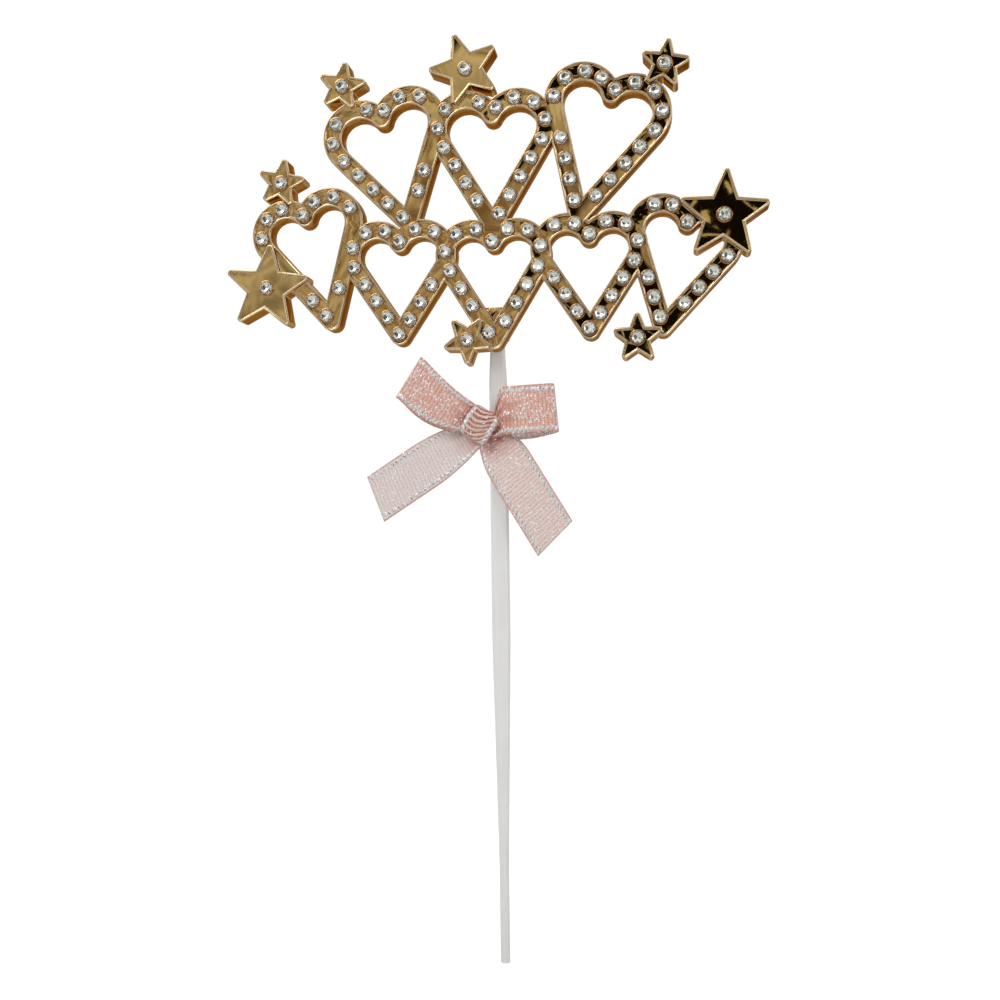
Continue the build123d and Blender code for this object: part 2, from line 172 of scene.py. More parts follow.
world = bpy.data.worlds.new("white_room")
bpy.context.scene.world = world
world.use_nodes = True
world.node_tree.nodes.clear()
path = add_node(world.node_tree, "ShaderNodeLightPath")
mirror_rays = add_node(
    world.node_tree, "ShaderNodeMath",
    {0: path.outputs["Is Glossy Ray"], 1: path.outputs["Is Transmission Ray"]}, operation="MAXIMUM")
seen = add_node(
    world.node_tree, "ShaderNodeMath",
    {0: path.outputs["Is Camera Ray"], 1: mirror_rays}, operation="MAXIMUM")
level = add_node(
    world.node_tree, "ShaderNodeMapRange", {"Value": seen, "To Min": ROOM_LEVEL, "To Max": ROOM_SEEN})
room = add_node(
    world.node_tree, "ShaderNodeBackground", {"Color": linear("#ffffff"), "Strength": level})
add_node(world.node_tree, "ShaderNodeOutputWorld", {"Surface": room})

LAMP_AIM = Vector((0, 0, 0.15))


def add_lamp(name, place, size, watts):
    """Soft square lamp that points at the plaque."""
    lamp_data = bpy.data.lights.new(name, "AREA")
    lamp_data.size = size
    lamp_data.energy = watts
    lamp = bpy.data.objects.new(name, lamp_data)
    bpy.context.scene.collection.objects.link(lamp)
    lamp.location = place
    lamp.rotation_euler = (LAMP_AIM - lamp.location).to_track_quat("-Z", "Y").to_euler()


add_lamp("key_lamp", Vector((-0.35, -0.55, 0.65)), 0.35, 2.0)
add_lamp("fill_lamp", Vector((0.6, -0.35, 0.35)), 0.4, 0.8)
print("room level", ROOM_LEVEL)

# %% Cards for the plating to reflect
BLOT_SIZE = 70 * MM
MOTTLE_SIZE = 22 * MM
PATCH_FROM = 0.63
PATCH_FULL = 0.645
EDGE_SOFT = 12 * MM
EDGE_WANDER = 18 * MM


def add_card(
        name, place, wide, tall, left_tones, right_tones,
        edge_at=0.0, edge_soft=EDGE_SOFT, wander=EDGE_WANDER):
    """Upright card that only mirror and glass rays see.

    It is mottled left of a ragged edge at some x, and plain with a few patches right of it.
    """
    finish, tree = new_material(name)
    spot = add_node(tree, "ShaderNodeTexCoord").outputs["Object"]
    blot = add_node(tree, "ShaderNodeTexNoise", {"Vector": spot, "Scale": 1 / BLOT_SIZE, "Detail": 2.0})
    mottle = add_node(tree, "ShaderNodeTexNoise", {"Vector": spot, "Scale": 1 / MOTTLE_SIZE, "Detail": 3.0})
    shift = add_node(
        tree, "ShaderNodeMapRange",
        {"Value": blot, "From Min": 0.3, "From Max": 0.7, "To Min": -wander, "To Max": wander})
    across = add_node(tree, "ShaderNodeSeparateXYZ", {"Vector": spot}).outputs["X"]
    ragged = add_node(tree, "ShaderNodeMath", {0: across, 1: shift}, operation="ADD")
    change = add_node(
        tree, "ShaderNodeMapRange",
        {"Value": ragged, "From Min": edge_at - edge_soft, "From Max": edge_at + edge_soft},
        interpolation_type="SMOOTHSTEP")
    streak = add_node(tree, "ShaderNodeMapRange", {"Value": mottle, "From Min": 0.36, "From Max": 0.64})
    left = add_node(
        tree, "ShaderNodeMix",
        {"Factor": streak, "A": linear(left_tones[0]), "B": linear(left_tones[1])}, data_type="RGBA")
    patch = add_node(
        tree, "ShaderNodeMapRange", {"Value": mottle, "From Min": PATCH_FROM, "From Max": PATCH_FULL})
    right = add_node(
        tree, "ShaderNodeMix",
        {"Factor": patch, "A": linear(right_tones[0]), "B": linear(right_tones[1])}, data_type="RGBA")
    tone = add_node(
        tree, "ShaderNodeMix",
        {"Factor": change, "A": left.outputs["Result"], "B": right.outputs["Result"]}, data_type="RGBA")
    show(tree, add_node(tree, "ShaderNodeEmission", {"Color": tone.outputs["Result"]}))

    mesh = bmesh.new()
    bmesh.ops.create_grid(mesh, x_segments=1, y_segments=1, size=0.5)
    bmesh.ops.scale(mesh, verts=mesh.verts, vec=(wide, tall, 1))
    bmesh.ops.rotate(mesh, verts=mesh.verts, matrix=Matrix.Rotation(math.radians(90), 3, "X"))
    bmesh.ops.translate(mesh, verts=mesh.verts, vec=place)
    card = make_object(name, mesh, finish)
    card.visible_camera = False
    card.visible_diffuse = False
    card.visible_shadow = False
    print(name, wide, "by", tall, "m")


add_card(
    "card_behind_camera", (-0.035, -0.33, 0.235), 0.4, 0.3, ("#7a6349", "#cbc1a9"), ("#120e0b", "#bdb090"),
    edge_at=-20 * MM)
add_card(
    "card_behind_object", (0.0, 0.4, 0.2), 0.7, 0.6, ("#997e57", "#d9c398"), ("#997e57", "#c9b288"),
    edge_at=0.1, edge_soft=0.1, wander=40 * MM)

# %% Smaller cards
grey = ("#87806f", "#c8c1ae")
pale_grey = ("#b0aa94", "#d2ccb6")
brown = ("#5c4c39", "#9c8a6c")
add_card("card_left_of_camera", (-0.165, -0.325, 0.235), 0.09, 0.3, grey, grey)
add_card("card_above_camera", (-0.065, -0.322, 0.305), 0.08, 0.07, pale_grey, pale_grey)
add_card("card_right_of_camera", (0.28, -0.31, 0.235), 0.2, 0.4, brown, brown)

# %% Pale slips for the right-hand star
SLIPS_AT = -0.32
cream = ("#c9bd98", "#e6dcbc")

# Place across and up, width and height, in millimetres
star_slips = [(80, 237, 9, 30), (51, 196, 4, 8), (33, 257, 5, 11)]
for k, (x, z, wide, tall) in enumerate(star_slips):
    add_card(f"pale_slip_{k + 1}", (x * MM, SLIPS_AT, z * MM), wide * MM, tall * MM, cream, cream)

# %% [markdown]
# ## Floor
# A wide sheet of white paper lies just under the spike's end and bounces light up, as a table does. The
# camera looks almost along it, so it gets some light of its own that only camera rays see, and it runs
# into the white room without an edge.

# %% Floor
FLOOR_WIDE = 8.0
FLOOR_LIFT = 0.55
FLOOR_BELOW = 0.2 * MM

floor_finish, tree = new_material("pale_floor")
path = add_node(tree, "ShaderNodeLightPath")
lift = add_node(
    tree, "ShaderNodeMath", {0: path.outputs["Is Camera Ray"], 1: FLOOR_LIFT}, operation="MULTIPLY")
paper = add_node(
    tree, "ShaderNodeBsdfPrincipled",
    {"Base Color": linear("#efefef"), "Roughness": 0.9, "Emission Color": linear("#ffffff"),
     "Emission Strength": lift})
show(tree, paper)
mesh = bmesh.new()
bmesh.ops.create_grid(mesh, x_segments=1, y_segments=1, size=FLOOR_WIDE / 2)
bmesh.ops.translate(mesh, verts=mesh.verts, vec=(0, 0, -FLOOR_BELOW))
floor = make_object("pale_floor", mesh, floor_finish)
print("floor", FLOOR_WIDE, "m wide")

# %% [markdown]
# ## Gold plating
# The plaque is moulded plastic with a vacuum-plated gold finish: a mirror with a warm tint, never quite
# flat, because the moulding under it sinks and ripples a little. A metallic Principled shader with low
# roughness gives the mirror, and a weak, wide bump gives the ripple. The side walls and the stone cups
# take a browner, darker copy of the gold, which is painted shade and a painted brown reflection. The
# camera sees those walls at a grazing angle, where a metal turns white, so that copy also has a darker
# tint for that angle, more painted shade. On the narrow round edges the plating is handled and duller,
# and its paler tint there is a painted highlight.

# %% Gold plating
RIPPLE_SIZE = 5 * MM
RIPPLE_DEEP = 0.25 * MM
RIPPLE_STRENGTH = 0.12
GRAIN_SIZE = 0.35 * MM


def gold_plating(name, tints, grazing, finest, dullest):
    """Plated plastic with a tint and a roughness that wander between two values, and a grazing tint."""
    material, tree = new_material(name)
    spot = add_node(tree, "ShaderNodeTexCoord").outputs["Object"]
    ripple = add_node(tree, "ShaderNodeTexNoise", {"Vector": spot, "Scale": 1 / RIPPLE_SIZE, "Detail": 1.0})
    grain = add_node(tree, "ShaderNodeTexNoise", {"Vector": spot, "Scale": 1 / GRAIN_SIZE, "Detail": 2.0})
    tint = add_node(
        tree, "ShaderNodeMix",
        {"Factor": ripple, "A": linear(tints[0]), "B": linear(tints[1])}, data_type="RGBA")
    polish = add_node(
        tree, "ShaderNodeMapRange",
        {"Value": grain, "From Min": 0.3, "From Max": 0.7, "To Min": finest, "To Max": dullest})
    wave = add_node(
        tree, "ShaderNodeBump", {"Height": ripple, "Strength": RIPPLE_STRENGTH, "Distance": RIPPLE_DEEP})
    gold = add_node(
        tree, "ShaderNodeBsdfPrincipled",
        {"Base Color": tint.outputs["Result"], "Metallic": 1.0, "Roughness": polish, "Normal": wave,
         "Specular Tint": linear(grazing)})
    show(tree, gold)
    return material


plating = gold_plating("gold_plated_plastic", ("#d8ba80", "#ecd09a"), "#ffffff", 0.02, 0.06)
# The walls' copy is browner and darker than the mirror gold: painted shade and a painted brown reflection.
shaded_wall_plating = gold_plating("gold_plating_painted_shade", ("#a97642", "#c6955c"), "#dcc1a0", 0.04, 0.1)
# The edges' copy is paler and greyer than the mirror gold, a painted highlight, and rougher.
highlit_edge_plating = gold_plating("gold_plating_painted_highlight", ("#c6b08c", "#d8c5a2"), "#ffffff", 0.16, 0.26)
print("made", plating.name, shaded_wall_plating.name, "and", highlit_edge_plating.name)

# %% [markdown]
# ## Plaque
# The CAD solid has the plaque's outline, channel and stars with sharp edges. On the moulding each edge
# is a round bead that catches the light, and the plating makes that the brightest line of all. A copy of
# the CAD mesh is merged first, because its triangles are loose. A live Bevel then rounds its sharp edges
# by their weights: fully on the two upright edges of each blunt star tip, and half as much on all the
# others. The bevel's faces take the duller, paler gold with its painted highlight, and the side walls
# take the browner one with its painted shade.

# %% Plaque
EDGE_ROUND = 0.2 * MM
EDGE_ANGLE = math.radians(35)
TIP_ROUND = 0.4 * MM
TIP_ANGLE = math.radians(60)
WALL_TALL = 3 * MM
WALL_LEAN = 0.3

mesh = merged_copy("gold_plaque")
weight = mesh.edges.layers.float.new("bevel_weight_edge")
tips = 0
for edge in mesh.edges:
    run = edge.verts[1].co - edge.verts[0].co
    upright = abs(run.y) > WALL_TALL and math.hypot(run.x, run.z) < WELD
    if upright and edge.calc_face_angle_signed() > TIP_ANGLE:
        edge[weight] = 1.0
        tips += 1
    elif edge.calc_face_angle() > EDGE_ANGLE:
        edge[weight] = EDGE_ROUND / TIP_ROUND
mesh.normal_update()
# Faces that stand across the front are the side walls, and they take the darker gold's painted shade.
for face in mesh.faces:
    face.smooth = True
    face.material_index = 1 if abs(face.normal.y) < WALL_LEAN else 0
print("star tip edges:", tips)
plaque = make_object("plated_plaque", mesh, plating, shaded_wall_plating, highlit_edge_plating)
rounding = plaque.modifiers.new("edge_beads", "BEVEL")
rounding.width = TIP_ROUND
rounding.segments = 3
# The bevel's faces take the paler gold, whose tint paints their highlight.
rounding.material = 2
rounding.limit_method = "WEIGHT"
rounding.use_clamp_overlap = False
rounding.loop_slide = False
rounding.harden_normals = True
dress(plaque, "topper", "gold_plating", "gold_plaque")

# %% [markdown]
# ## Places of the stones
# Each stone's CAD solid has one flat table that faces the front. Its middle is the stone's place, so the
# cups and the stones below need no list of their own.

# %% Places of the stones
FLAT_ANGLE = math.radians(1)
FRONT_FACING = -0.99
stone_nodes = sorted(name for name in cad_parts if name.startswith("stone"))


def stone_places(node):
    """Middle of the flat back of each stone in a CAD node."""
    mesh = merged_copy(node)
    bmesh.ops.dissolve_limit(mesh, angle_limit=FLAT_ANGLE, verts=mesh.verts, edges=mesh.edges)
    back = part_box(node)[1].y
    tables = [face.calc_center_median() for face in mesh.faces if face.normal.y < FRONT_FACING]
    mesh.free()
    return [Vector((table.x, back, table.z)) for table in tables]


places_of = {node: stone_places(node) for node in stone_nodes}
print("stones:", sum(len(places) for places in places_of.values()))

# %% [markdown]
# ## Cups
# Every stone sits in a thin raised ring that is moulded with the plaque. One small profile, spun round
# the stone's axis, makes a ring. There are over a hundred, so each has only a few dozen faces.

# %% Cups
CUP_RADIUS = 1.5 * MM
CUP_WALL = 0.19 * MM
CUP_TALL = 0.42 * MM
CUP_STEPS = 18

cup = bmesh.new()
foot = cup.verts.new((CUP_RADIUS + CUP_WALL, 0, 0))
crest = cup.verts.new((CUP_RADIUS + CUP_WALL / 2, -CUP_TALL, 0))
lip = cup.verts.new((CUP_RADIUS - CUP_WALL, -CUP_TALL / 2, 0))
corners = [foot, crest, lip]
edges = [cup.edges.new(pair) for pair in zip(corners, corners[1:])]
bmesh.ops.spin(
    cup, geom=corners + edges, axis=(0, 1, 0), cent=(0, 0, 0), angle=math.tau, steps=CUP_STEPS,
    use_merge=True)
bmesh.ops.remove_doubles(cup, verts=cup.verts, dist=WELD)
bmesh.ops.recalc_face_normals(cup, faces=cup.faces)
for face in cup.faces:
    face.smooth = True
cup_data = bpy.data.meshes.new("cup")
cup.to_mesh(cup_data)
cup.free()

mesh = bmesh.new()
for node in stone_nodes:
    for place in places_of[node]:
        start = len(mesh.verts)
        mesh.from_mesh(cup_data)
        mesh.verts.ensure_lookup_table()
        bmesh.ops.translate(mesh, verts=mesh.verts[start:], vec=place)
# The cups take the walls' darker gold, so their rings put painted shade round each stone.
cups = make_object("stone_cups", mesh, shaded_wall_plating)
dress(cups, "topper", "gold_plating")

# %% [markdown]
# ## Stones
# The stones are cut glass with a silver foil pressed on behind, so that light goes in through the
# facets, off the foil and out again. Clear glass with mirrors for its back facets does the same in
# Cycles. A brilliant is the convex hull of a point at the back and three circles: the back facets'
# corners, the girdle and the table.

# %% Glass and foil
glass, tree = new_material("cut_glass")
clear = add_node(
    tree, "ShaderNodeBsdfPrincipled",
    {"Base Color": linear("#fcfdfa"), "Roughness": 0.0, "IOR": 1.54, "Transmission Weight": 1.0})
show(tree, clear)

CRINKLE_SIZE = 0.9 * MM
CRINKLE_DEEP = 0.05 * MM
CRINKLE_STRENGTH = 0.05
foil, tree = new_material("silver_foil")
spot = add_node(tree, "ShaderNodeTexCoord").outputs["Object"]
crinkle = add_node(tree, "ShaderNodeTexNoise", {"Vector": spot, "Scale": 1 / CRINKLE_SIZE, "Detail": 1.0})
silver_tone = add_node(
    tree, "ShaderNodeMix",
    {"Factor": crinkle, "A": linear("#e4e5e0"), "B": linear("#fffffa")}, data_type="RGBA")
dents = add_node(
    tree, "ShaderNodeBump", {"Height": crinkle, "Strength": CRINKLE_STRENGTH, "Distance": CRINKLE_DEEP})
mirror = add_node(
    tree, "ShaderNodeBsdfPrincipled",
    {"Base Color": silver_tone.outputs["Result"], "Metallic": 0.8, "Roughness": 0.03, "Normal": dents})
show(tree, mirror)
print("made", glass.name, "and", foil.name)

# %% Stones
STONE_RADIUS = 1.44 * MM
STONE_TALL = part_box("stone_star_top")[1].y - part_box("stone_star_top")[0].y
GLUE = 0.02 * MM
BACK_FACING = 0.1

stone = bmesh.new()
bmesh.ops.create_vert(stone, co=(0, -GLUE, 0))

# Corners, radius, height above the floor and turn of each circle
rings = [
    (6, 0.68 * STONE_RADIUS, 0.19 * STONE_TALL, 30),
    (12, STONE_RADIUS, 0.41 * STONE_TALL, 0),
    (6, 0.57 * STONE_RADIUS, STONE_TALL, 0),
]
for segments, radius, rise, turn in rings:
    stand = Matrix.Translation((0, -rise, 0)) @ Matrix.Rotation(math.radians(90), 4, "X")
    stand = stand @ Matrix.Rotation(math.radians(turn), 4, "Z")
    bmesh.ops.create_circle(stone, segments=segments, radius=radius, matrix=stand)
bmesh.ops.convex_hull(stone, input=stone.verts)
bmesh.ops.delete(stone, geom=[edge for edge in stone.edges if not edge.link_faces], context="EDGES")
bmesh.ops.dissolve_limit(stone, angle_limit=FLAT_ANGLE, verts=stone.verts, edges=stone.edges)
bmesh.ops.recalc_face_normals(stone, faces=stone.faces)
for face in stone.faces:
    face.material_index = 1 if face.normal.y > BACK_FACING else 0
print("one stone has", len(stone.faces), "faces")
stone_data = bpy.data.meshes.new("stone")
stone.to_mesh(stone_data)
stone.free()

STONE_TURN_STEP = math.radians(37)
for node in stone_nodes:
    mesh = bmesh.new()
    for k, place in enumerate(places_of[node]):
        start = len(mesh.verts)
        mesh.from_mesh(stone_data)
        mesh.verts.ensure_lookup_table()
        new = mesh.verts[start:]
        bmesh.ops.rotate(mesh, verts=new, matrix=Matrix.Rotation(k * STONE_TURN_STEP, 3, "Y"))
        bmesh.ops.translate(mesh, verts=new, vec=place)
    stones = make_object(f"cut_{node}", mesh, glass, foil)
    dress(stones, "topper", "clear_stone", node)

# %% [markdown]
# ## Stick
# The stick is a white polypropylene moulding with a dull skin: fine draw marks run along it, and it is a
# touch darker where the mould was worn. The CAD solid has the right shape, so a merged copy only gets
# smooth shading and a small round on its cut end.

# %% Stick
STREAK_WIDE = 0.25 * MM
STREAK_LONG = 30 * MM
STREAK_DEEP = 0.04 * MM
STREAK_STRENGTH = 0.12
CLOUD_SIZE = 14 * MM
STICK_ROUND = 0.12 * MM
STICK_ANGLE = math.radians(50)

white_plastic, tree = new_material("white_polypropylene")
spot = add_node(tree, "ShaderNodeTexCoord").outputs["Object"]
drawn = add_node(
    tree, "ShaderNodeMapping",
    {"Vector": spot, "Scale": (1 / STREAK_WIDE, 1 / STREAK_WIDE, 1 / STREAK_LONG)})
streaks = add_node(tree, "ShaderNodeTexNoise", {"Vector": drawn, "Scale": 1.0, "Detail": 3.0})
cloud = add_node(tree, "ShaderNodeTexNoise", {"Vector": spot, "Scale": 1 / CLOUD_SIZE, "Detail": 3.0})
shade = add_node(tree, "ShaderNodeMath", {0: streaks, 1: cloud}, operation="MULTIPLY")
whiteness = add_node(tree, "ShaderNodeMapRange", {"Value": shade, "From Min": 0.1, "From Max": 0.4})
skin = add_node(
    tree, "ShaderNodeMix",
    {"Factor": whiteness, "A": linear("#ebeae8"), "B": linear("#f6f6f4")}, data_type="RGBA")
scratch = add_node(
    tree, "ShaderNodeBump", {"Height": streaks, "Strength": STREAK_STRENGTH, "Distance": STREAK_DEEP})
plastic = add_node(
    tree, "ShaderNodeBsdfPrincipled",
    {"Base Color": skin.outputs["Result"], "Roughness": 0.55, "IOR": 1.49, "Subsurface Weight": 0.15,
     "Subsurface Radius": (0.6 * MM, 0.55 * MM, 0.5 * MM), "Subsurface Scale": 1.0, "Normal": scratch})
show(tree, plastic)

mesh = merged_copy("stick")
for face in mesh.faces:
    face.smooth = True
stick = make_object("moulded_stick", mesh, white_plastic)
rounding = stick.modifiers.new("worn_edges", "BEVEL")
rounding.width = STICK_ROUND
rounding.segments = 2
rounding.limit_method = "ANGLE"
rounding.angle_limit = STICK_ANGLE
rounding.harden_normals = True
dress(stick, "topper", "white_plastic", "stick")

# %% [markdown]
# ## Ribbon
# The bow is 10 mm organza: sheer pink threads with fine cross ribs, a silver braid just inside both
# edges, and silver metal threads that glint here and there. The pattern follows the cloth, so each strip
# carries a UV map in millimetres: U along the ribbon and V across it. The real threads are finer than
# the render can show, so they are drawn coarser than they are. Towards the knot the layers lie on each
# other and the pink deepens, and the finish paints shade there as well; it takes both from the distance
# to the knot.

# %% Sizes of the bow
knot_low, knot_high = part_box("bow_knot")
KNOT = Vector(((knot_low.x + knot_high.x) / 2, knot_high.y, (knot_low.z + knot_high.z) / 2))
KNOT_DEEP = knot_high.y - knot_low.y
RIBBON_WIDE = 10.0
WIDTH = RIBBON_WIDE * MM
CLOTH_THICK = 0.14 * MM
print("knot at", [round(value / MM, 1) for value in KNOT], "mm")

# %% Ribbon finish
# The pattern's sizes are in the UV map's millimetres, and lengths in the scene have MM beside them.
RIB_PITCH = 0.8
THREAD_PITCH = 0.5
THREAD_SHARE = 0.4
WOBBLE_SIZE = 1.8
WOBBLE_SHIFT = 0.6
FLECK_SIZE = 0.32
BRAID_IN = 0.9
BRAID_STITCH = 1.1
BRAID_TWIST = 0.9
BRAID_RAG = 0.2
SELVEDGE_IN = 0.5
GLINT_ALONG = 0.42
GLINT_ACROSS = 0.8
GLINT_SOFT = 0.12
PATCH_SIZE = 4.5
PATCH_SHARE = 0.8
LAYER_SHADE_NEAR = 4.2 * MM
LAYER_SHADE_FAR = 8.5 * MM
SILVER_RAISE = 2.5
SILVER_METAL = 0.6
WEAVE_DEEP = 0.035 * MM
WEAVE_STRENGTH = 0.8
CLOTH_ROUGH = 0.55
SILVER_ROUGH = 0.28


def ribbon_finish(name, ground, deep, rib_pitch, rib_share, glint_level, braid_half, layers_and_shade):
    """Organza in two pinks: ribs, silver braid, glints above a level, and layers and painted shade near the
    knot.
    """
    material, tree = new_material(name)
    cloth = add_node(tree, "ShaderNodeUVMap", uv_map="ribbon")
    axes = add_node(tree, "ShaderNodeSeparateXYZ", {"Vector": cloth})
    along, across = axes.outputs["X"], axes.outputs["Y"]
    wobble = add_node(
        tree, "ShaderNodeTexNoise", {"Vector": cloth, "Scale": 1 / WOBBLE_SIZE, "Detail": 2.0})
    fleck = add_node(
        tree, "ShaderNodeTexNoise", {"Vector": cloth, "Scale": 1 / FLECK_SIZE, "Detail": 1.0})

    # Ribs and threads
    drift = add_node(
        tree, "ShaderNodeMath", {0: wobble, 1: WOBBLE_SHIFT, 2: along}, operation="MULTIPLY_ADD")
    rib_turn = add_node(tree, "ShaderNodeMath", {0: drift, 1: math.tau / rib_pitch}, operation="MULTIPLY")
    ribs = add_node(tree, "ShaderNodeMath", {0: rib_turn}, operation="SINE")
    ribs = add_node(tree, "ShaderNodeMath", {0: ribs, 1: rib_share}, operation="MULTIPLY")
    thread_turn = add_node(
        tree, "ShaderNodeMath", {0: across, 1: math.tau / THREAD_PITCH}, operation="MULTIPLY")
    threads = add_node(tree, "ShaderNodeMath", {0: thread_turn}, operation="SINE")
    weave = add_node(
        tree, "ShaderNodeMath", {0: threads, 1: THREAD_SHARE, 2: ribs}, operation="MULTIPLY_ADD")
    uneven = add_node(
        tree, "ShaderNodeMapRange",
        {"Value": fleck, "From Min": 0.3, "From Max": 0.7, "To Min": -0.9, "To Max": 0.9})
    weave = add_node(tree, "ShaderNodeMath", {0: weave, 1: uneven}, operation="ADD")

    # Silver braid: a line inside each edge, twisted from pale and dark stretches
    off_middle = add_node(tree, "ShaderNodeMath", {0: across, 1: RIBBON_WIDE / 2}, operation="SUBTRACT")
    from_middle = add_node(tree, "ShaderNodeMath", {0: off_middle}, operation="ABSOLUTE")
    off_line = add_node(
        tree, "ShaderNodeMath", {0: from_middle, 1: RIBBON_WIDE / 2 - BRAID_IN}, operation="SUBTRACT")
    off_braid = add_node(tree, "ShaderNodeMath", {0: off_line}, operation="ABSOLUTE")
    ragged = add_node(
        tree, "ShaderNodeMath", {0: uneven, 1: BRAID_RAG, 2: off_braid}, operation="MULTIPLY_ADD")
    braid = add_node(
        tree, "ShaderNodeMapRange", {"Value": ragged, "From Min": braid_half, "From Max": 0.5 * braid_half})
    twist = add_node(
        tree, "ShaderNodeMath", {0: across, 1: BRAID_TWIST, 2: drift}, operation="MULTIPLY_ADD")
    twist_turn = add_node(
        tree, "ShaderNodeMath", {0: twist, 1: math.tau / BRAID_STITCH}, operation="MULTIPLY")
    stitch = add_node(tree, "ShaderNodeMath", {0: twist_turn}, operation="SINE")
    stitch = add_node(tree, "ShaderNodeMath", {0: stitch, 1: uneven}, operation="ADD")
    bright = add_node(
        tree, "ShaderNodeMapRange", {"Value": stitch, "From Min": -2.0, "From Max": -0.1})
    braid_tone = add_node(
        tree, "ShaderNodeMix",
        {"Factor": bright, "A": linear("#827a78"), "B": linear("#f2f0ef")}, data_type="RGBA")

    # Glints: short metal threads across the ribbon, some of them bright, in patches
    cells = add_node(
        tree, "ShaderNodeMapping", {"Vector": cloth, "Scale": (1 / GLINT_ALONG, 1 / GLINT_ACROSS, 1)})
    sparks = add_node(
        tree, "ShaderNodeTexVoronoi", {"Vector": cells, "Scale": 1.0}, voronoi_dimensions="2D")
    luck = add_node(tree, "ShaderNodeSeparateColor", {"Color": sparks.outputs["Color"]})
    patch = add_node(tree, "ShaderNodeTexNoise", {"Vector": cloth, "Scale": 1 / PATCH_SIZE, "Detail": 1.0})
    chance = add_node(
        tree, "ShaderNodeMath", {0: patch, 1: PATCH_SHARE, 2: luck}, operation="MULTIPLY_ADD")
    lucky = add_node(
        tree, "ShaderNodeMapRange",
        {"Value": chance, "From Min": glint_level, "From Max": glint_level + GLINT_SOFT})
    core = add_node(
        tree, "ShaderNodeMapRange",
        {"Value": sparks.outputs["Distance"], "From Min": 0.5, "From Max": 0.25})
    glint = add_node(tree, "ShaderNodeMath", {0: lucky, 1: core}, operation="MULTIPLY")
    silver = add_node(tree, "ShaderNodeMath", {0: braid, 1: glint}, operation="MAXIMUM")

    # Colour: deep pink between the ribs (on the knot, painted shade in the creases), near the knot (layers
    # and painted shade) and at the selvedge, then braid and glints on top
    crest = add_node(tree, "ShaderNodeMapRange", {"Value": weave, "From Min": -1.5, "From Max": 0.9})
    pink = add_node(
        tree, "ShaderNodeMix", {"Factor": crest, "A": linear(deep), "B": linear(ground)}, data_type="RGBA")
    spot = add_node(tree, "ShaderNodeTexCoord").outputs["Object"]
    # Near the knot the pink deepens: partly the layers on each other, partly painted shade of the gathers.
    reach = add_node(
        tree, "ShaderNodeVectorMath", {0: spot, 1: KNOT}, operation="DISTANCE").outputs["Value"]
    near = add_node(
        tree, "ShaderNodeMapRange", {"Value": reach, "From Min": LAYER_SHADE_FAR, "From Max": LAYER_SHADE_NEAR})
    patchy_layers_and_shade = add_node(tree, "ShaderNodeMath", {0: wobble, 1: layers_and_shade}, operation="MULTIPLY")
    gathered = add_node(tree, "ShaderNodeMath", {0: near, 1: patchy_layers_and_shade}, operation="MULTIPLY")
    pink = add_node(
        tree, "ShaderNodeMix",
        {"Factor": gathered, "A": pink.outputs["Result"], "B": linear("#bf5a42")}, data_type="RGBA")
    selvedge = add_node(
        tree, "ShaderNodeMapRange",
        {"Value": from_middle, "From Min": RIBBON_WIDE / 2 - SELVEDGE_IN, "From Max": RIBBON_WIDE / 2})
    pink = add_node(
        tree, "ShaderNodeMix",
        {"Factor": selvedge, "A": pink.outputs["Result"], "B": linear("#dd9d8f")}, data_type="RGBA")
    edged = add_node(
        tree, "ShaderNodeMix",
        {"Factor": braid, "A": pink.outputs["Result"], "B": braid_tone.outputs["Result"]}, data_type="RGBA")
    colour = add_node(
        tree, "ShaderNodeMix",
        {"Factor": glint, "A": edged.outputs["Result"], "B": linear("#faf7f5")}, data_type="RGBA")

    # Relief and shine
    height = add_node(
        tree, "ShaderNodeMath", {0: silver, 1: SILVER_RAISE, 2: weave}, operation="MULTIPLY_ADD")
    relief = add_node(
        tree, "ShaderNodeBump", {"Height": height, "Strength": WEAVE_STRENGTH, "Distance": WEAVE_DEEP})
    shine = add_node(
        tree, "ShaderNodeMapRange", {"Value": silver, "To Min": CLOTH_ROUGH, "To Max": SILVER_ROUGH})
    metal = add_node(tree, "ShaderNodeMath", {0: silver, 1: SILVER_METAL}, operation="MULTIPLY")
    organza = add_node(
        tree, "ShaderNodeBsdfPrincipled",
        {"Base Color": colour.outputs["Result"], "Metallic": metal, "Roughness": shine, "Normal": relief,
         "Sheen Weight": 0.2, "Sheen Roughness": 0.4})
    show(tree, organza)
    return material


KNOT_RIB_PITCH = 1.3
loop_organza = ribbon_finish(
    "pink_organza_double", "#eec5b9", "#cf8673", RIB_PITCH,
    rib_share=0.75, glint_level=0.98, braid_half=0.42, layers_and_shade=1.2)
pale_organza = ribbon_finish(
    "pink_organza_pale", "#f2e7e3", "#ddc6c0", RIB_PITCH,
    rib_share=0.75, glint_level=1.22, braid_half=0.33, layers_and_shade=0.8)
tail_organza = ribbon_finish(
    "pink_organza_single", "#f5e4de", "#dcb5ab", RIB_PITCH,
    rib_share=0.75, glint_level=1.12, braid_half=0.33, layers_and_shade=1.2)
# The knot's dark deep pink and strong ribs, at the creases' pitch, are painted shade in the crease valleys
# and painted light on the crests.
crease_shaded_organza = ribbon_finish(
    "pink_organza_painted_crease_shade", "#fbd9cc", "#8f3520", KNOT_RIB_PITCH,
    rib_share=1.2, glint_level=1.2, braid_half=0.75, layers_and_shade=0.0)
print("ribbon finishes made")

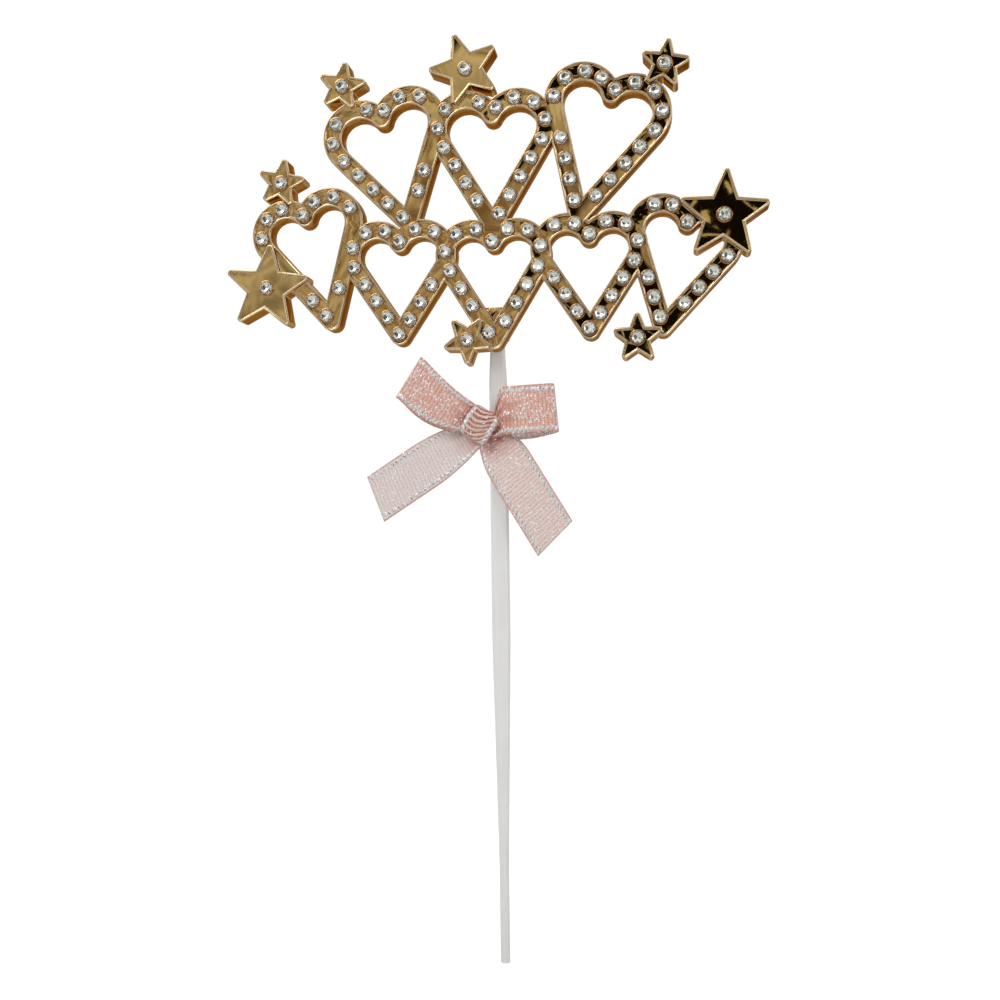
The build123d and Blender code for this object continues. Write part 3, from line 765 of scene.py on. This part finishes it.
# %% [markdown]
# ## Bow
# A strip of ribbon starts as a flat grid. Each vertex then gets its place on the bow from how far along
# and across the ribbon it is: a tail flares from the knot to a slanted cut, a loop goes out, folds over
# and comes back. Close to the knot the cloth is gathered, so it waves in depth there. Directions are
# bearings in the picture plane, from +X towards +Z, round the knot's middle.

# %% Strips of ribbon
NECK_HALF = 2.7 * MM
TUCK = 1.2 * MM
GATHER_DEEP = 0.32 * MM
GATHER_FROM = 3.5 * MM
GATHER_FADE = 3.5 * MM
CROSS_STEPS = 24


def bow_place(bearing, along, across, depth):
    """Point along and across a strip and in depth towards the front, from the knot's middle."""
    turn = math.radians(bearing)
    forward = Vector((math.cos(turn), 0, math.sin(turn)))
    sideways = Vector((-math.sin(turn), 0, math.cos(turn)))
    return KNOT + along * forward + across * sideways - depth * Vector((0, 1, 0))


def walk_along(line):
    """Distance walked to each point of a line of points, from its first."""
    walked = [0.0]
    for here, there in zip(line, line[1:]):
        walked.append(walked[-1] + (there - here).length)
    return walked


def strip(name, steps_along, steps_across, place, material, sag=0.0, tilt=0.0):
    """Ribbon from a grid: place(u, v) gives the point for u from 0 to 1 along and v from -1 to 1 across.

    Where the cloth is pinched, its cross ribs sag between the edges and tilt, by some millimetres.
    """
    walked = walk_along([place(k / steps_along, 0) for k in range(steps_along + 1)])
    mesh = bmesh.new()
    bmesh.ops.create_grid(mesh, x_segments=steps_along, y_segments=steps_across, size=1)
    cloth = mesh.loops.layers.uv.new("ribbon")
    for face in mesh.faces:
        face.smooth = True
        for loop in face.loops:
            u, v = (loop.vert.co.x + 1) / 2, loop.vert.co.y
            drag = sag * (1 - v ** 2) + tilt * v
            loop[cloth].uv = (walked[round(u * steps_along)] / MM + drag, (v + 1) / 2 * RIBBON_WIDE)
    for vert in mesh.verts:
        vert.co = place((vert.co.x + 1) / 2, vert.co.y)
    piece = make_object(name, mesh, material)
    cloth_body = piece.modifiers.new("cloth", "SOLIDIFY")
    cloth_body.thickness = CLOTH_THICK
    cloth_body.offset = 0
    return piece


class StripShape(NamedTuple):
    """One strip of the bow: where it points, its length and its flat shape, in metres and degrees."""

    bearing: float
    length: float
    neck_end: float
    flare_end: float
    lift: float
    bend: float
    slant: float
    level: float


def edge_line(shape, along, side):
    """Distance of a strip's upper (1) or lower (-1) edge from its middle line."""
    share = (along - shape.neck_end) / (shape.flare_end - shape.neck_end)
    share = min(1, max(0, share))
    wide = shape.lift + side * WIDTH / 2
    neck = side * NECK_HALF
    return neck + (wide - neck) * math.sin(share * math.pi / 2) + shape.bend * math.sin(share * math.pi)


def across_strip(shape, along, v):
    """Place across a strip between its two edges."""
    low, high = edge_line(shape, along, -1), edge_line(shape, along, 1)
    return low + (high - low) * (v + 1) / 2


def gather(along, v, count, phase):
    """Depth of the gathers, which fade out away from the knot."""
    fade = math.exp(-max(0, along - GATHER_FROM) / GATHER_FADE)
    return GATHER_DEEP * fade * math.cos(count * math.pi * v + phase)


# %% [markdown]
# ## Tails
# The two free ends hang from the knot and are cut on a slant, so that they fray less. Each is one flat
# strip that flares from its gathered neck to the full width, with a slight belly towards the front. A
# single sheer layer with white behind it looks pale, the left one most of all.

# %% Tails
TAIL_BELLY = 0.6 * MM
TAIL_STEPS = 60


def make_tail(name, node, shape, material, gathers, phase):
    """A free end, cut on a slant."""
    lean = WIDTH / 2 * math.tan(math.radians(shape.slant))

    def place(u, v):
        along = TUCK + u * (shape.length - v * lean - TUCK)
        share = along / (shape.length + WIDTH / 2)
        depth = shape.level + TAIL_BELLY * 4 * share * (1 - share) + gather(along, v, gathers, phase)
        return bow_place(shape.bearing, along, across_strip(shape, along, v), depth)

    tail = strip(name, TAIL_STEPS, CROSS_STEPS, place, material)
    dress(tail, "bow", "pink_ribbon", node)


left_tail = StripShape(
    bearing=212.5, length=28.2 * MM, neck_end=1 * MM, flare_end=16 * MM, lift=0, bend=0,
    slant=-12, level=0.5 * MM)
right_tail = StripShape(
    bearing=301, length=27.9 * MM, neck_end=1 * MM, flare_end=10 * MM, lift=0, bend=0,
    slant=14, level=1.0 * MM)
make_tail("ribbon_tail_left", "bow_tail_left", left_tail, pale_organza, 2.0, 0.6)
make_tail("ribbon_tail_right", "bow_tail_right", right_tail, tail_organza, 3.0, 0.0)

# %% [markdown]
# ## Loops
# A loop leaves the knot behind, folds over at its far end and comes back in front, so two sheer layers
# lie on each other and the pink is deeper. The fold is half a circle, walked at the same pace as the
# straight runs, so that the weave isn't stretched. The back layer lies a little to one side and peeps
# out there.

# %% Loops
LOOP_NECK = 0.7 * MM
LOOP_FOLD = 1.35 * MM
LOOP_DIP = 2.0 * MM
LOOP_DIP_FADE = 4.0 * MM
LOOP_STEPS = 110


def make_loop(name, node, shape, gathers, phase, back_shift):
    """A strip that leaves the knot behind, folds over at the far end and comes back in front."""
    run = shape.length - LOOP_FOLD - TUCK
    total = 2 * run + math.pi * LOOP_FOLD
    lean = WIDTH / 2 * math.tan(math.radians(shape.slant))

    def place(u, v):
        walked = u * total
        if walked < run:
            along = TUCK + walked
            puff = -1.0
        elif walked < run + math.pi * LOOP_FOLD:
            turn = (walked - run) / LOOP_FOLD
            along = shape.length - LOOP_FOLD + LOOP_FOLD * math.sin(turn)
            puff = -math.cos(turn)
        else:
            along = shape.length - LOOP_FOLD - (walked - run - math.pi * LOOP_FOLD)
            puff = 1.0
        share = along / shape.length
        half = LOOP_NECK + (LOOP_FOLD - LOOP_NECK) * share
        peep = back_shift * math.sin(math.pi * share) * (1 - puff) / 2
        dip = LOOP_DIP * math.exp((TUCK - along) / LOOP_DIP_FADE)
        depth = shape.level - dip + puff * half + gather(along, v, gathers, phase + puff)
        across = across_strip(shape, along, v) + peep
        return bow_place(shape.bearing, along - v * lean * share, across, depth)

    loop = strip(name, LOOP_STEPS, CROSS_STEPS, place, loop_organza)
    dress(loop, "bow", "pink_ribbon", node)


left_loop = StripShape(
    bearing=147, length=19 * MM, neck_end=1 * MM, flare_end=18 * MM, lift=0, bend=1.2 * MM,
    slant=0, level=3.0 * MM)
right_loop = StripShape(
    bearing=2, length=15.2 * MM, neck_end=2.2 * MM, flare_end=4.3 * MM, lift=2.7 * MM, bend=0,
    slant=3, level=3.0 * MM)
make_loop("ribbon_loop_left", "bow_loop_left", left_loop, 2.5, 0.4, 0.5 * MM)
make_loop("ribbon_loop_right", "bow_loop_right", right_loop, 3.5, 1.1, -1.1 * MM)

# %% [markdown]
# ## Knot
# The knot is a band of the same ribbon, drawn tight over the front and tucked in behind at both ends.
# Its section is a squared arch. Its cross ribs are pulled into curves, and the cloth creases along them.
# Its finish paints shade into the valleys of the creases and a lighter pink onto their crests.

# %% Knot
KNOT_TURN = -32
KNOT_WIDE = 6.6 * MM
KNOT_TALL = 7.0 * MM
KNOT_SQUARE = 0.62
KNOT_PINCH = 0.2
KNOT_ROLL = 0.5 * MM
KNOT_SAG = -2.1
KNOT_TILT = -1.6
KNOT_STEPS = 140
KNOT_CROSS_STEPS = 40
CREASE_DEEP = 0.2 * MM
BRAID_RAISE = 0.3 * MM
BRAID_ROUND = 0.7
KNOT_ASIDE = Vector((-1.0 * MM, 0, 0))
crown_depth = KNOT_DEEP - CREASE_DEEP - CLOTH_THICK


def knot_arch(u):
    """Middle line of the band, u from 0 to 1 over the front, as a place along it and a depth."""
    reach, rise = math.cos(u * math.pi), max(0, math.sin(u * math.pi))
    along = KNOT_TALL / 2 * math.copysign(abs(reach) ** KNOT_SQUARE, reach)
    return Vector((along, crown_depth * rise ** KNOT_SQUARE))


arch_walk = walk_along([knot_arch(k / KNOT_STEPS) for k in range(KNOT_STEPS + 1)])


def knot_place(u, v):
    """The band's surface: narrower at its ends, rolled down at its edges and creased along its ribs."""
    along, depth = knot_arch(u)
    rise = max(0, math.sin(u * math.pi))
    across = v * KNOT_WIDE / 2 * (1 - KNOT_PINCH * (1 - rise ** 2))
    phase = arch_walk[round(u * KNOT_STEPS)] / MM + KNOT_SAG * (1 - v ** 2) + KNOT_TILT * v
    crease = CREASE_DEEP * math.sin(phase * math.tau / KNOT_RIB_PITCH)
    off_braid = abs(v) * RIBBON_WIDE / 2 - (RIBBON_WIDE / 2 - BRAID_IN)
    ridge = BRAID_RAISE * math.exp(-(off_braid / BRAID_ROUND) ** 2)
    depth += rise * (crease + ridge - KNOT_ROLL * v ** 4)
    return bow_place(KNOT_TURN + 90, along, across, depth) + KNOT_ASIDE


knot = strip(
    "ribbon_knot", KNOT_STEPS, KNOT_CROSS_STEPS, knot_place, crease_shaded_organza, KNOT_SAG, KNOT_TILT)
dress(knot, "bow", "pink_ribbon", "bow_knot")

# %% [markdown]
# ## Turn round the stick
# Behind the knot the ribbon goes once round the bar, and its grip holds the bow where it is. It is
# gathered to little more than half its width, so it lies in pleats. Its section is a squared ellipse,
# which follows the bar's flat sides.

# %% Turn round the stick
wrap_low, wrap_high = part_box("bow_wrap")
WRAP_MIDDLE = (wrap_low + wrap_high) / 2
WRAP_HALF = (wrap_high - wrap_low) / 2
WRAP_SQUARE = 0.5
WRAP_SKIN = 0.08 * MM
PLEATS = 9
PLEAT_DEEP = 0.2 * MM
WRAP_STEPS = 64
WRAP_CROSS_STEPS = 90


def wrap_place(u, v):
    """The ribbon's turn round the bar, gathered to little more than half its width."""
    turn = u * math.tau
    pleat = PLEAT_DEEP * (1 + math.cos(PLEATS * math.pi * v + math.sin(turn))) / 2
    wide = WRAP_HALF.x - WRAP_SKIN - PLEAT_DEEP + pleat
    deep = WRAP_HALF.y - WRAP_SKIN - PLEAT_DEEP + pleat
    x = wide * math.copysign(abs(math.cos(turn)) ** WRAP_SQUARE, math.cos(turn))
    y = deep * math.copysign(abs(math.sin(turn)) ** WRAP_SQUARE, math.sin(turn))
    return WRAP_MIDDLE + Vector((x, y, v * WRAP_HALF.z))


# The turn takes the knot's finish, with its painted crease shade.
wrap = strip("ribbon_wrap", WRAP_STEPS, WRAP_CROSS_STEPS, wrap_place, crease_shaded_organza)
dress(wrap, "bow", "pink_ribbon", "bow_wrap")
